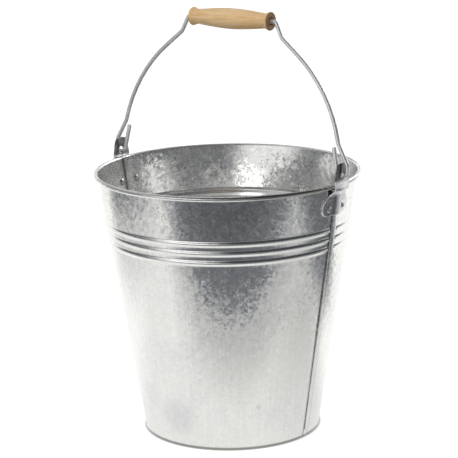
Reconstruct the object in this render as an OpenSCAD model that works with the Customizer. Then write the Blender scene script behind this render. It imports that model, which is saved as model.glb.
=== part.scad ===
// Galvanised sheet-steel bucket: two wall halves locked together at their seams, a bottom disc
// folded into the foot, a rim rolled over a wire, two riveted ears, and a wire bail with a turned
// wooden grip. The right ear is on +X, +Y is the back, and the foot stands on Z = 0.

/* [Bucket] */
// Outside diameter over the rolled rim
rim_d = 300; // [250:1:350]
// Outside diameter at the foot
foot_d = 198; // [160:1:230]
// Height from the ground to the top of the rim
bucket_h = 296.5; // [240:0.5:350]
// Thickness of the wall sheet
sheet_t = 0.6; // [0.4:0.1:1]
// Air between sheets that lie on each other
lap_gap = 0.1; // [0.05:0.05:0.2]

/* [Rim] */
// Diameter of the wire inside the rolled rim
rim_wire_d = 4; // [3:0.5:6]
// How far the sheet wraps round its wire, in degrees
curl_wrap = 300; // [240:5:310]

/* [Foot] */
// Height of the hem that is folded up inside the foot
hem_h = 7; // [5:0.5:8]
// Bend radius of the fold at the ground, at the middle of the sheet
foot_bend_r = 0.4; // [0.35:0.05:0.6]
// Thickness of the bottom disc
disc_t = 0.6; // [0.4:0.1:1]
// Height of the bottom disc's upper side, at its edge
disc_h = 12; // [11:0.5:20]
// Bend radius at the edge of the bottom disc, at the middle of the sheet
disc_bend_r = 2; // [1.5:0.5:3]
// Diameter of the panel that is pressed up in the bottom disc
panel_d = 140; // [100:1:150]
// Height by which the panel is pressed up
panel_rise = 1.5; // [0.5:0.5:3]
// Width of the slope round the panel
panel_slope_w = 5; // [4:0.5:8]

/* [Ridges] */
// Number of ridges rolled into the wall
ridge_count = 3; // [1:1:5]
// Distance from the top of the rim down to the first ridge
ridge_drop = 54.1; // [45:0.1:70]
// Distance between ridges
ridge_pitch = 10.6; // [8:0.1:14]
// Width of a ridge
ridge_w = 7.5; // [5:0.5:8]
// Height of a ridge, outwards
ridge_h = 1.4; // [0.5:0.1:2.2]
// Distance from the end of a ridge to the seam
ridge_gap = 1; // [0.5:0.1:2]

/* [Seams] */
// Distance between the two folds of a lock seam
seam_lock_w = 6; // [5:0.5:8]
// Width of the step where the upper sheet climbs over the seam
seam_step_w = 2.4; // [2:0.1:3]
// Distance from the top of the rim down to the end of the seam's folds
seam_drop = 11; // [9:0.5:15]
// Height of the lower end of the seam's folds above the ground
seam_foot_h = 9; // [8:0.5:15]

/* [Ears] */
// Thickness of an ear
ear_t = 1.5; // [1:0.1:2]
// Width of the lobe that is riveted to the wall
ear_lobe_w = 48; // [42:0.5:60]
// Distance from the top of the rim down to the lower edge of the ear
ear_drop = 36; // [32:0.5:45]
// Distance from the top of the rim down to the lobe's shoulder
ear_shoulder_drop = 22; // [18:0.5:24]
// Distance from the top of the rim down to the neck
ear_neck_drop = 8.5; // [6:0.5:10]
// Width of the neck
ear_neck_w = 25; // [22:0.5:28]
// Width of the eye plate at the rim
ear_eye_w = 29; // [26:0.5:34]
// Width of the eye plate at its top, before rounding
ear_top_w = 20; // [18:0.5:24]
// Height of the eye plate above the rim
ear_rise = 21.5; // [18:0.5:28]
// Corner radius of the eye plate's top
ear_top_r = 8.5; // [5:0.5:9]
// Corner radius of the lobe
ear_lobe_r = 9; // [4:0.5:10]
// Corner radius of the shoulder and the neck
ear_neck_r = 6; // [3:0.5:8]
// Diameter of the hole for the bail
ear_hole_d = 8; // [7:0.5:10]
// Height of the hole above the rim
ear_hole_rise = 6.9; // [5.5:0.1:9]
// Height over which the ear steps out round the rim
ear_step_h = 11; // [9:0.5:14]
// Distance from the top of the rim down to the top of that step
ear_step_drop = 4.5; // [3:0.5:5]

/* [Rivets] */
// Distance between the two rivets of an ear
rivet_pitch = 26; // [24:0.5:32]
// Distance from the top of the rim down to the rivets
rivet_drop = 28; // [26:0.5:30]
// Diameter of a rivet's shank
rivet_d = 5; // [4:0.5:6]
// Diameter of the head inside the bucket
rivet_head_d = 8; // [7:0.5:9]
// Height of the head inside the bucket
rivet_head_h = 1.8; // [1:0.1:2.5]
// Diameter of the rolled collar outside
rivet_collar_d = 7; // [6:0.5:8]
// Height of the rolled collar outside
rivet_collar_h = 0.8; // [0.5:0.1:1.5]
// Diameter of the hollow in the rivet's outer end
rivet_hollow_d = 4; // [3:0.5:4.5]
// Depth of the hollow, below the top of the collar
rivet_hollow_h = 2; // [1:0.1:2.4]

/* [Bail] */
// Diameter of the bail wire
bail_d = 4.8; // [4:0.1:6]
// Height of the grip's axis above the hinge
bail_rise = 161; // [140:1:180]
// Lean of the bail towards the back, as it rests
bail_lean = 5; // [0:0.5:15]
// Bend radius at the bottom of a hook
hook_r = 4; // [3.5:0.1:4.5]
// Height of a hook's free end
hook_end_h = 31; // [25:1:36]
// How far the free end leans inwards
hook_end_in = 6.5; // [4:0.5:9]
// Distance from the top of the ear down to where the outer leg turns inwards
hook_turn_drop = 3; // [2:0.5:4]
// Height of the shoulder, where the outer leg meets the arch, above the top of the ear
shoulder_rise = 20.5; // [18:0.5:26]
// Distance of the shoulder inwards from the middle of the ear
shoulder_in = 7.2; // [5:0.1:9]
// Bend radius at the foot of the slanting leg
hook_turn_r = 9; // [6:0.5:12]
// Bend radius at the shoulder
shoulder_r = 15; // [10:1:20]
// Lean of the arch above the shoulder, from upright
arch_lean = 13; // [8:0.5:16]
// Slope of the arch where it meets the crank, from level
arch_slope = 39; // [34:0.5:44]
// Greatest bend radius of the arch
arch_r = 160; // [60:1:170]
// Width of the crank beside the grip
crank_w = 8.2; // [6:0.1:12]
// Height of the crank
crank_h = 17; // [14:0.5:20]
// Distance from the end of the grip to the crank
crank_gap = 6; // [3.5:0.1:8]
// Bend radius at the top of the crank
crank_r = 5; // [4:0.1:5]
// Bend radius at the foot of the crank
crank_foot_r = 8; // [5:0.5:10]

/* [Grip] */
// Length of the grip
grip_l = 105; // [95:1:130]
// Diameter at the middle of the grip
grip_belly_d = 22.8; // [19:0.1:28]
// Diameter at the waists near the ends
grip_waist_d = 16.6; // [14:0.1:18]
// Diameter of the end collars
grip_end_d = 20.6; // [18:0.1:24]
// Distance from the end of the grip to the waist
grip_waist_in = 8.5; // [7:0.5:14]
// Radius of the rounded edge at each end
grip_edge_r = 1.2; // [0.6:0.1:2]
// Diameter of the countersink in each end
grip_sink_d = 10; // [7:0.5:12]
// Depth of the countersink
grip_sink_h = 6; // [4:0.5:8]

/* [Fits] */
// Air round a rivet's shank, on the radius
rivet_gap = 0.05; // [0.03:0.01:0.1]
// Air between the ear and the rim and between the ear and the seam
ear_gap = 0.15; // [0.1:0.05:0.3]
// Air between the ear and each leg of a hook
hook_gap = 2.45; // [2.2:0.05:3]
// Air under the bail wire in the ear's hole
hinge_gap = 0.25; // [0.2:0.05:0.4]
// Air round the bail wire inside the grip, on the radius
grip_gap = 0.3; // [0.2:0.05:0.5]

/* [Hidden] */
$fn = 120;
zinc = [0.78, 0.8, 0.82];
zinc_dark = [0.62, 0.63, 0.66];
beech = [0.86, 0.7, 0.48];
curve_steps = 10;
fold_steps = 6;

// Rolled rim: its centre, and the radius of the sheet's middle line round it
curl_r = rim_wire_d / 2 + lap_gap + sheet_t / 2;
curl_out = curl_r + sheet_t / 2;
curl_c = [rim_d / 2 - curl_out, bucket_h - curl_out];

// Wall: a straight line in section, from the foot to the inner side of the rolled rim
foot_p = [foot_d / 2 - sheet_t / 2, 0];
foot_to_curl = curl_c - foot_p;
wall_angle = atan2(foot_to_curl[0], foot_to_curl[1]) - asin(curl_r / norm(foot_to_curl));
wall_dir = [sin(wall_angle), cos(wall_angle)];
wall_out = [cos(wall_angle), -sin(wall_angle)];

// Foot: the wall, the disc's flange and the hem lie in three layers
hem_off = sheet_t + disc_t + 2 * lap_gap;
flange_off = sheet_t / 2 + lap_gap + disc_t / 2;
foot_bend_z = sheet_t / 2 + foot_bend_r;
flange_z = sheet_t + 2 * lap_gap;

// Seam: four layers, counted from the wall outwards
layer = sheet_t + lap_gap;
fold_y = seam_lock_w / 2;
step_in_y = fold_y + sheet_t;
step_out_y = step_in_y + seam_step_w;
seam_r = (rim_d + foot_d) / 4;
seam_top_z = bucket_h - seam_drop;
seam_outside = 3 * layer + sheet_t / 2;
seam_left_y = fold_y + layer + sheet_t / 2;
seam_end_gap = 0.5;
hem_back = 0.3;
tongue_share = 0.6;
tongue_l = 1;

// Ridges: where they end beside the seams, and how far their feet sink into the sheet
ridge_under_y = seam_left_y + ridge_gap;
ridge_over_y = step_out_y + tongue_l + ridge_gap;
ridge_sink = 0.03;
hollow_back = 2 * sheet_t;

// Ears: the middle lines of the flanks and of the rib over the seam, and of the eye plate
ear_x = rim_d / 2 + ear_gap + ear_t / 2;
ear_top_z = bucket_h + ear_rise;
ear_low_z = bucket_h - ear_drop;
ear_step_z = bucket_h - ear_step_drop;
flank_off = sheet_t / 2 + lap_gap + ear_t / 2;
rib_off = seam_outside + ear_gap + ear_t / 2;
rib_low_y = -(seam_left_y + ear_gap);
rib_high_y = step_out_y - sheet_t / 2 + ear_gap;
ear_hole_z = bucket_h + ear_hole_rise;
ear_corner_r = 4;
spare = 5;

// Bail: the hinge is the wire's own axis, where it lies in the bottom of the ear's hole
hinge_z = ear_hole_z - ear_hole_d / 2 + hinge_gap + bail_d / 2;
hook_reach = ear_t / 2 + hook_gap + bail_d / 2;
ear_top_h = ear_top_z - hinge_z;
shoulder = [ear_x - shoulder_in, ear_top_h + shoulder_rise];
crank_top = [grip_l / 2 + crank_gap, bail_rise];
crank_foot = [crank_top[0] + crank_w, bail_rise - crank_h];
arch_up = [-sin(arch_lean), cos(arch_lean)];
arch_down = [cos(arch_slope), -sin(arch_slope)];
arch_up_l = cross(crank_foot - shoulder, arch_down) / cross(arch_up, arch_down);
arch_corner = shoulder + arch_up_l * arch_up;
arch_share = 0.94;
arch_room = arch_share * min(norm(arch_corner - shoulder), norm(arch_corner - crank_foot));
arch_turn = 90 - arch_lean - arch_slope;
arch_bend_r = min(arch_r, arch_room / tan(arch_turn / 2));

bend_swell = 0.05;
bend_lap = 0.3;

// Corners of one half of the bail, from the free end to the grip, each with its bend radius
bail_half = [
    [[ear_x - hook_reach - hook_end_in, hook_end_h], 0],
    [[ear_x - hook_reach, 0], hook_r],
    [[ear_x + hook_reach, 0], hook_r],
    [[ear_x + hook_reach, ear_top_h - hook_turn_drop], hook_turn_r],
    [shoulder, shoulder_r],
    [arch_corner, arch_bend_r],
    [crank_foot, crank_foot_r],
    [crank_top, crank_r]
];

function unit(v) = v / norm(v);
function turned(v) = [v[1], -v[0]];
function reversed(list) = [for (i = [len(list) - 1:-1:0]) list[i]];
function at_wall(s, off) = foot_p + s * wall_dir + off * wall_out;
function wall_s(z, off) = (z + off * sin(wall_angle)) / cos(wall_angle);

// A sheet in section is a line of [point, normal on its right], and its outline is both offsets
function outline(line, t) = concat(
    [for (q = line) q[0] + q[1] * t / 2],
    reversed([for (q = line) q[0] - q[1] * t / 2]));

// Points and normals along an arc, which turns left when a1 is above a0
function arc(c, r, a0, a1, steps) = [for (i = [0:steps])
    let (a = a0 + (a1 - a0) * i / steps, e = [cos(a), sin(a)])
    [c + r * e, e * sign(a1 - a0)]];

// Points and normals along a cubic curve from p to q, which leaves along u and arrives along v
function blend(p, u, q, v, steps) = [for (i = [0:steps])
    let (t = i / steps, k = norm(q - p) / 2, b = p + u * k, c = q - v * k, m = 1 - t,
        at = p * pow(m, 3) + b * 3 * m * m * t + c * 3 * m * t * t + q * pow(t, 3),
        along = (b - p) * m * m + (c - b) * 2 * m * t + (q - c) * t * t)
    [at, turned(unit(along))]];

// Where a rounded corner at b starts and ends, and its centre
function corner_reach(a, b, c, r) =
    r / tan(acos(unit(a - b) * unit(c - b)) / 2);
function corner_centre(a, b, c, r) =
    b + unit(unit(a - b) + unit(c - b)) * r / sin(acos(unit(a - b) * unit(c - b)) / 2);
function short_turn(a) = a > 180 ? a - 360 : a < -180 ? a + 360 : a;

// A closed outline of [corner, radius] pairs with its corners rounded
function rounded(list, steps) = [for (i = [0:len(list) - 1])
    let (n = len(list), b = list[i][0], a = list[(i + n - 1) % n][0], c = list[(i + 1) % n][0],
        r = list[i][1], reach = corner_reach(a, b, c, r), o = corner_centre(a, b, c, r),
        p = b + unit(a - b) * reach - o, q = b + unit(c - b) * reach - o,
        a0 = atan2(p[1], p[0]), turn = short_turn(atan2(q[1], q[0]) - a0))
    for (k = [0:steps]) o + r * [cos(a0 + turn * k / steps), sin(a0 + turn * k / steps)]];

// One ridge, as a raised cosine pressed outwards, centred at s along the wall
function ridge(s) = [for (i = [0:curve_steps])
    let (t = i / curve_steps, off = ridge_h * (1 - cos(360 * t)) / 2 - ridge_sink,
        slope = ridge_h * PI / ridge_w * sin(360 * t))
    [at_wall(s + (t - 0.5) * ridge_w, off), unit(wall_out - slope * wall_dir)]];
function ridge_section(s, side, base_off) = concat(
    [at_wall(s - ridge_w / 2, base_off)],
    [for (q = ridge(s)) q[0] + side * q[1] * sheet_t / 2],
    [at_wall(s + ridge_w / 2, base_off)]);

function foot_fold() =
    let (out_off = -foot_bend_r, in_off = foot_bend_r - hem_off,
        out_c = at_wall(wall_s(foot_bend_z, out_off), out_off),
        in_c = at_wall(wall_s(foot_bend_z, in_off), in_off))
    concat(
        [[at_wall(hem_h, -hem_off), -wall_out]],
        arc(in_c, foot_bend_r, 180 - wall_angle, 270, fold_steps),
        arc(out_c, foot_bend_r, 270, 360 - wall_angle, fold_steps));

function wall_line() = concat(
    foot_fold(),
    arc(curl_c, curl_r, 180 - wall_angle, 180 - wall_angle - curl_wrap, 2 * curve_steps));

function disc_line() =
    let (off = -flange_off - disc_bend_r, z = disc_h - disc_t / 2,
        c = at_wall(wall_s(z - disc_bend_r, off), off),
        in_p = [panel_d / 2 - panel_slope_w, z + panel_rise], out_p = [panel_d / 2, z])
    concat(
        [[[0, z + panel_rise], [0, -1]]],
        blend(in_p, [1, 0], out_p, [1, 0], curve_steps),
        arc(c, disc_bend_r, 90, -wall_angle, fold_steps),
        [[at_wall(wall_s(flange_z, -flange_off), -flange_off), -wall_out]]);

// Seam sections lie in [y, out] and follow the wall's curve; a thin tongue sits in the wall's edge
function seam_bow(line) = [for (q = line) [q[0] - [0, pow(q[0][0], 2) / (2 * seam_r)], q[1]]];
function tongue(y, dir) = seam_bow([for (back = [tongue_l, 0])
    [[y - dir * back, 0], turned([dir, 0]) * tongue_share]]);
function lock_under() = concat(
    tongue(fold_y, 1),
    seam_bow(arc([fold_y, layer], layer, -90, 90, fold_steps)),
    seam_bow([[[hem_back - fold_y, 2 * layer], [0, 1]]]));
function lock_over() = concat(
    tongue(step_out_y, -1),
    seam_bow(blend([step_out_y, 0], [-1, 0], [step_in_y, 3 * layer], [-1, 0], curve_steps)),
    seam_bow(arc([-fold_y, 2 * layer], layer, 90, 270, fold_steps)),
    seam_bow([[[fold_y - hem_back, layer], [0, -1]]]));

// An ear in section: up the wall at an offset, then out round the rim and straight up
function ear_line(off) =
    let (s0 = wall_s(ear_low_z - spare, off),
        s1 = wall_s(ear_step_z - ear_step_h, off))
    concat(
        [[at_wall(s0, off), wall_out]],
        blend(at_wall(s1, off), wall_dir, [ear_x, ear_step_z], [0, 1], curve_steps),
        [[[ear_x, ear_top_z + spare], [1, 0]]]);
function ear_half() = [
    [[ear_lobe_w / 2, ear_low_z], ear_lobe_r],
    [[ear_lobe_w / 2, bucket_h - ear_shoulder_drop], ear_neck_r],
    [[ear_neck_w / 2, bucket_h - ear_neck_drop], ear_neck_r],
    [[ear_eye_w / 2, bucket_h], ear_corner_r],
    [[ear_top_w / 2, ear_top_z], ear_top_r]];
function flipped(list) = [for (q = list) [[-q[0][0], q[0][1]], q[1]]];

// Rivets stand square to the wall, at equal distances to both sides of the seam
rivet_p = at_wall(wall_s(bucket_h - rivet_drop, 0), 0);
rivet_angle = asin(rivet_pitch / 2 / rivet_p[0]);
rivet_in = -(sheet_t / 2 + lap_gap);
rivet_out = flank_off + ear_t / 2 + lap_gap;
module at_rivet(side) {
    rotate([0, 0, side * rivet_angle])
        translate([rivet_p[0], 0, rivet_p[1]])
            rotate([0, 90 + wall_angle, 0])
                children();
}
module rivet_holes(sides) {
    for (side = sides)
        at_rivet(side)
            cylinder(d = rivet_d + 2 * rivet_gap, h = rim_d / 4, center = true);
}

module along_seam(bottom_z, top_z) {
    s0 = wall_s(bottom_z, 0);
    translate([foot_p[0], 0, foot_p[1]])
        rotate([0, wall_angle, 0])
            translate([0, 0, s0])
                linear_extrude(wall_s(top_z, 0) - s0)
                    children();
}
module seam_section(line) {
    polygon([for (p = outline(line, sheet_t)) [p[1], p[0]]]);
}

// The ridges of one half, or the hollows behind them, which end a little earlier
module ridge_rings(side, base_off, end_gap) {
    far = rim_d;
    under_y = ridge_under_y + end_gap;
    over_y = ridge_over_y + end_gap;
    difference() {
        for (i = [0:ridge_count - 1])
            rotate_extrude()
                polygon(ridge_section(wall_s(bucket_h - ridge_drop - i * ridge_pitch, 0), side, base_off));
        translate([0, -under_y, -spare])
            cube([far, far + under_y, bucket_h + 2 * spare]);
        translate([-far, -over_y, -spare])
            cube([far + foot_d / 4, far + over_y, bucket_h + 2 * spare]);
    }
}

// One half of the wall: it lies under at the seam on +X and laps over at the seam on -X
module wall_half() {
    far = rim_d;
    under_y = fold_y - lap_gap;
    over_y = fold_y;
    notch_y = step_out_y + lap_gap;
    notch_h = seam_top_z - seam_foot_h + 2 * seam_end_gap;
    difference() {
        union() {
            difference() {
                rotate_extrude()
                    polygon(outline(wall_line(), sheet_t));
                translate([0, under_y, -spare])
                    cube([far, far, bucket_h + 2 * spare]);
                translate([-far, -over_y, -spare])
                    cube([far + foot_d / 4, far, bucket_h + 2 * spare]);
                translate([-far, -notch_y, seam_foot_h - seam_end_gap])
                    cube([far, notch_y, notch_h]);
            }
            ridge_rings(1, 0, 0);
            along_seam(seam_foot_h, seam_top_z)
                seam_section(lock_under());
            rotate([0, 0, 180])
                along_seam(seam_foot_h, seam_top_z)
                    seam_section(lock_over());
        }
        ridge_rings(-1, -hollow_back, sheet_t);
        rivet_holes([-1]);
        rotate([0, 0, 180])
            rivet_holes([1]);
    }
}

module ear_plate() {
    half = ear_half();
    corners = concat(half, reversed(flipped(half)));
    flank = ear_line(flank_off);
    rib = ear_line(rib_off);
    side_h = ear_top_z + 2 * spare;
    rib_w = rib_high_y - rib_low_y;
    difference() {
        intersection() {
            rotate([90, 0, 90])
                linear_extrude(rim_d)
                    polygon(rounded(corners, fold_steps));
            union() {
                difference() {
                    rotate_extrude()
                        polygon(outline(flank, ear_t));
                    translate([0, rib_low_y, 0])
                        cube([rim_d, rib_w, side_h]);
                }
                difference() {
                    intersection() {
                        rotate_extrude()
                            polygon(concat([for (q = rib) q[0] + q[1] * ear_t / 2],
                                reversed([for (q = flank) q[0] - q[1] * ear_t / 2])));
                        translate([0, rib_low_y - ear_t, 0])
                            cube([rim_d, rib_w + 2 * ear_t, side_h]);
                    }
                    intersection() {
                        rotate_extrude()
                            polygon(concat([for (q = rib) q[0] - q[1] * ear_t / 2],
                                [[foot_d / 4, ear_top_z + spare], [foot_d / 4, ear_low_z - 2 * spare],
                                    [rib[0][0][0], ear_low_z - 2 * spare]]));
                        translate([0, rib_low_y, 0])
                            cube([rim_d, rib_w, side_h]);
                    }
                }
            }
        }
        translate([0, 0, ear_hole_z])
            rotate([0, 90, 0])
                cylinder(d = ear_hole_d, h = rim_d);
        rivet_holes([-1, 1]);
    }
}

// A rivet with a low domed head inside and a rolled hollow collar outside
module rivet(side) {
    rim_r = (rivet_collar_d - rivet_hollow_d) / 4;
    collar_c = rivet_collar_d / 2 - rim_r;
    head_r = rivet_head_d / 2;
    head = [for (i = [0:curve_steps])
        let (a = 90 * i / curve_steps)
        [head_r * sin(a), rivet_in - rivet_head_h * cos(a)]];
    collar = [for (i = [0:2 * curve_steps])
        let (a = 180 * i / (2 * curve_steps))
        [collar_c + rim_r * cos(a), rivet_out + rivet_collar_h * sin(a)]];
    at_rivet(side)
        rotate_extrude()
            polygon(concat(head,
                [[rivet_d / 2, rivet_in], [rivet_d / 2, rivet_out]],
                collar,
                [[0, rivet_out + rivet_collar_h - rivet_hollow_h]]));
}

// A round wire along straight runs and bends that lie in the XY plane; each bend is a touch thicker
// than the runs, which end inside it
module wire(list, d) {
    last = len(list) - 1;
    reach = [for (i = [0:last]) i == 0 || i == last ? 0
        : corner_reach(list[i - 1][0], list[i][0], list[i + 1][0], list[i][1])];
    lap = [for (i = [0:last]) i == 0 || i == last ? 0 : bend_lap];
    for (i = [0:last - 1]) {
        run = list[i + 1][0] - list[i][0];
        start = list[i][0] + unit(run) * (reach[i] - lap[i]);
        translate([start[0], start[1], 0])
            rotate([0, 0, atan2(run[1], run[0])])
                rotate([0, 90, 0])
                    cylinder(d = d, h = norm(run) - reach[i] - reach[i + 1] + lap[i] + lap[i + 1]);
    }
    for (i = [1:last - 1]) {
        a = list[i - 1][0];
        b = list[i][0];
        c = list[i + 1][0];
        o = corner_centre(a, b, c, list[i][1]);
        p = b + unit(a - b) * reach[i] - o;
        q = b + unit(c - b) * reach[i] - o;
        a0 = atan2(p[1], p[0]);
        turn = short_turn(atan2(q[1], q[0]) - a0);
        translate([o[0], o[1], 0])
            rotate([0, 0, turn > 0 ? a0 : a0 + turn])
                rotate_extrude(angle = abs(turn))
                    translate([list[i][1], 0])
                        circle(d = d + 2 * bend_swell);
    }
}
module at_bail() {
    translate([0, 0, hinge_z])
        rotate([-bail_lean, 0, 0])
            children();
}

// The grip's outline from its middle to one end, as [radius, distance]
grip_waist_x = grip_l / 2 - grip_waist_in;
grip_edge_x = grip_l / 2 - grip_edge_r;
grip_edge_d = grip_end_d - 2 * grip_edge_r;
function grip_half() = concat(
    [for (i = [0:curve_steps - 1]) let (t = i / curve_steps)
        [(grip_waist_d + (grip_belly_d - grip_waist_d) * cos(90 * t)) / 2, grip_waist_x * t]],
    [for (i = [0:fold_steps - 1]) let (t = i / fold_steps)
        [(grip_waist_d + (grip_end_d - grip_waist_d) * (1 - cos(90 * t))) / 2,
            grip_waist_x + (grip_edge_x - grip_waist_x) * t]],
    [for (i = [0:fold_steps]) let (a = 90 * i / fold_steps)
        [grip_edge_d / 2 + grip_edge_r * cos(a), grip_edge_x + grip_edge_r * sin(a)]]);

module front_wall() {
    color(zinc)
        wall_half();
}
module back_wall() {
    color(zinc)
        rotate([0, 0, 180])
            wall_half();
}
module bottom_disc() {
    color(zinc)
        rotate_extrude()
            polygon(outline(disc_line(), disc_t));
}
module rim_wire() {
    color(zinc_dark)
        rotate_extrude()
            translate(curl_c)
                circle(d = rim_wire_d);
}
module right_ear() {
    color(zinc_dark)
        ear_plate();
}
module left_ear() {
    color(zinc_dark)
        rotate([0, 0, 180])
            ear_plate();
}
module right_ear_rivet_front() {
    color(zinc)
        rivet(-1);
}
module right_ear_rivet_back() {
    color(zinc)
        rivet(1);
}
module left_ear_rivet_front() {
    color(zinc)
        rotate([0, 0, 180])
            rivet(1);
}
module left_ear_rivet_back() {
    color(zinc)
        rotate([0, 0, 180])
            rivet(-1);
}
module bail() {
    color(zinc_dark)
        at_bail()
            rotate([90, 0, 0])
                wire(concat(bail_half, reversed(flipped(bail_half))), bail_d);
}
module grip() {
    half = grip_half();
    lower = reversed([for (q = half) if (q[1] > 0) [q[0], -q[1]]]);
    color(beech)
        at_bail()
            translate([0, 0, bail_rise])
                rotate([0, 90, 0])
                    difference() {
                        rotate_extrude()
                            polygon(concat([[0, -grip_l / 2]], lower, half, [[0, grip_l / 2]]));
                        cylinder(d = bail_d + 2 * grip_gap, h = 2 * grip_l, center = true);
                        for (end = [-1, 1])
                            translate([0, 0, end * grip_l / 2])
                                cylinder(d = grip_sink_d, h = 2 * grip_sink_h, center = true);
                    }
}

front_wall();
back_wall();
bottom_disc();
rim_wire();
right_ear();
left_ear();
right_ear_rivet_front();
right_ear_rivet_back();
left_ear_rivet_front();
left_ear_rivet_back();
bail();
grip();
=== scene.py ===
import bmesh
import bpy
import numpy as np
from mathutils import Matrix


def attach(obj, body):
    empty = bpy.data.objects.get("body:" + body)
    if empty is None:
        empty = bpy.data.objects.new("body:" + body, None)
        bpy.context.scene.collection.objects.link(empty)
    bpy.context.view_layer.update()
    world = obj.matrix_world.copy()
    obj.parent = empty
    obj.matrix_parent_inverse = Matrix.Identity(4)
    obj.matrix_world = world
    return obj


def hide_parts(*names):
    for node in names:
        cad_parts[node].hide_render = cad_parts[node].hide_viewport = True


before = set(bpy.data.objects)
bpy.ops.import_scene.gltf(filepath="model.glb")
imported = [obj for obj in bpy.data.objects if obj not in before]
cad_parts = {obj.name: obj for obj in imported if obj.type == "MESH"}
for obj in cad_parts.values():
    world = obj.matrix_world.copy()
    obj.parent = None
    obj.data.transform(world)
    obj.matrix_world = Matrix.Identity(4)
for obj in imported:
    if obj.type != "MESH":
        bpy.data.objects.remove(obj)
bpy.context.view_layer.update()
mm = 0.001
xAxis, yAxis, zAxis = np.eye(3)
print("frame loaded:", len(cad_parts), "nodes")

# Camera, as the photograph was taken: metres, degrees, pixels of a 458 x 458 picture, sensor in millimetres
camera = {"azimuth": 35.4, "elevation": 15.475, "distance": 2.182849, "aimHeight": 0.15,
          "pitch": 13.512, "yaw": 0.011, "roll": 1.194, "focalPixels": 1923.81, "picture": 458,
          "sensor": 36.0, "clipEnd": 50.0}

# Right and away on the ground, for someone who looks from the camera
viewTurn = np.radians(camera["azimuth"])
viewRight = np.array([np.cos(viewTurn), np.sin(viewTurn), 0.0])
viewAway = np.array([-np.sin(viewTurn), np.cos(viewTurn), 0.0])


def unit(v):
    return v / np.linalg.norm(v, axis=-1, keepdims=True)


def inScene(name, data):
    made = bpy.data.objects.new(name, data)
    bpy.context.scene.collection.objects.link(made)
    return made


def axesAt(x, y, z, place):
    # the matrix of something with those axes at that place
    turn = np.eye(4)
    turn[:3] = np.stack([x, y, z, place], axis=1)
    return Matrix(turn.tolist())


def makeCamera(c):
    # stands back along the view at its elevation, looks down by the pitch, then rolls about its own axis
    el, pitch, yaw, roll = np.radians([c["elevation"], c["pitch"], c["yaw"], c["roll"]])
    place = c["aimHeight"] * zAxis + c["distance"] * (np.sin(el) * zAxis - np.cos(el) * viewAway)
    ahead = np.cos(pitch) * (np.sin(yaw) * viewRight + np.cos(yaw) * viewAway) - np.sin(pitch) * zAxis
    side = unit(np.cross(ahead, zAxis))
    over = np.cross(side, ahead)
    side, over = np.cos(roll) * side - np.sin(roll) * over, np.sin(roll) * side + np.cos(roll) * over
    data = bpy.data.cameras.new("photoCamera")
    data.sensor_width = c["sensor"]
    data.lens = c["sensor"] * c["focalPixels"] / c["picture"]
    data.clip_end = c["clipEnd"]
    cam = inScene("photoCamera", data)
    cam.matrix_world = axesAt(side, over, -ahead, place)
    bpy.context.scene.camera = cam


makeCamera(camera)
print("camera set")


# Mesh helpers
def quadGrid(rows, cols, wrapRows=False, wrapCols=False):
    # quads between the neighbours of a rows by cols grid of points, going round where asked
    index = np.arange(rows * cols).reshape(rows, cols)
    if wrapRows:
        index = np.vstack([index, index[:1]])
    if wrapCols:
        index = np.hstack([index, index[:, :1]])
    corners = [index[:-1, :-1], index[:-1, 1:], index[1:, 1:], index[1:, :-1]]
    return np.stack(corners, axis=-1).reshape(-1, 4)


def gridMesh(points, uv, wrapRows=False, wrapCols=False):
    # a grid of points in millimetres as points in metres, quads and uv
    quads = quadGrid(*points.shape[:2], wrapRows, wrapCols)
    return points.reshape(-1, 3) * mm, quads, uv.reshape(-1, 2)


def cappedMesh(points, uv, flip=False):
    # the same for a closed section carried along, with each end filled between its two sides
    rows, cols = points.shape[:2]
    index = np.arange(rows * cols).reshape(rows, cols)
    low, high = index[:rows // 2], index[rows - 1:rows // 2 - 1:-1]
    caps = np.stack([low[:-1], low[1:], high[1:], high[:-1]], axis=-1)
    metres, quads, flat = gridMesh(points, uv, wrapRows=True)
    quads = np.concatenate([quads, caps[:, 0], caps[:, -1, ::-1]])
    return metres, quads[:, ::-1] if flip else quads, flat


def joinGrids(*grids):
    # several sets of points, quads and uv as one set
    points, quads, uv = zip(*grids)
    first = np.cumsum([0] + [len(p) for p in points[:-1]])
    quads = [q + n for q, n in zip(quads, first)]
    return np.concatenate(points), np.concatenate(quads), np.concatenate(uv)


def turnedHalf(grid):
    # the same piece, half a turn round the upright axis
    points, quads, uv = grid
    return points * np.array([-1, -1, 1]), quads, uv


def welded(points, quads, uv, step=2e-6):
    # points that share a cell of that step become one, and a quad with two equal corners a triangle
    keys = np.round(points / step).astype(np.int64)
    cells, first, place = np.unique(keys, axis=0, return_index=True, return_inverse=True)
    joined = place.reshape(-1)[quads]
    same = joined == np.roll(joined, -1, axis=1)
    whole = np.flatnonzero(same.sum(axis=1) == 0)
    faces = joined[whole].tolist()
    corners = [quads[whole].reshape(-1)]
    for edge in range(4):
        pick = np.flatnonzero((same.sum(axis=1) == 1) & same[:, edge])
        keep = [(edge + k) % 4 for k in (1, 2, 3)]
        faces += joined[pick][:, keep].tolist()
        corners.append(quads[pick][:, keep].reshape(-1))
    return points[first], faces, uv[np.concatenate(corners)]


def turnOutwards(mesh):
    work = bmesh.new()
    work.from_mesh(mesh)
    bmesh.ops.recalc_face_normals(work, faces=work.faces)
    work.to_mesh(mesh)
    work.free()
    mesh.update()


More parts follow.
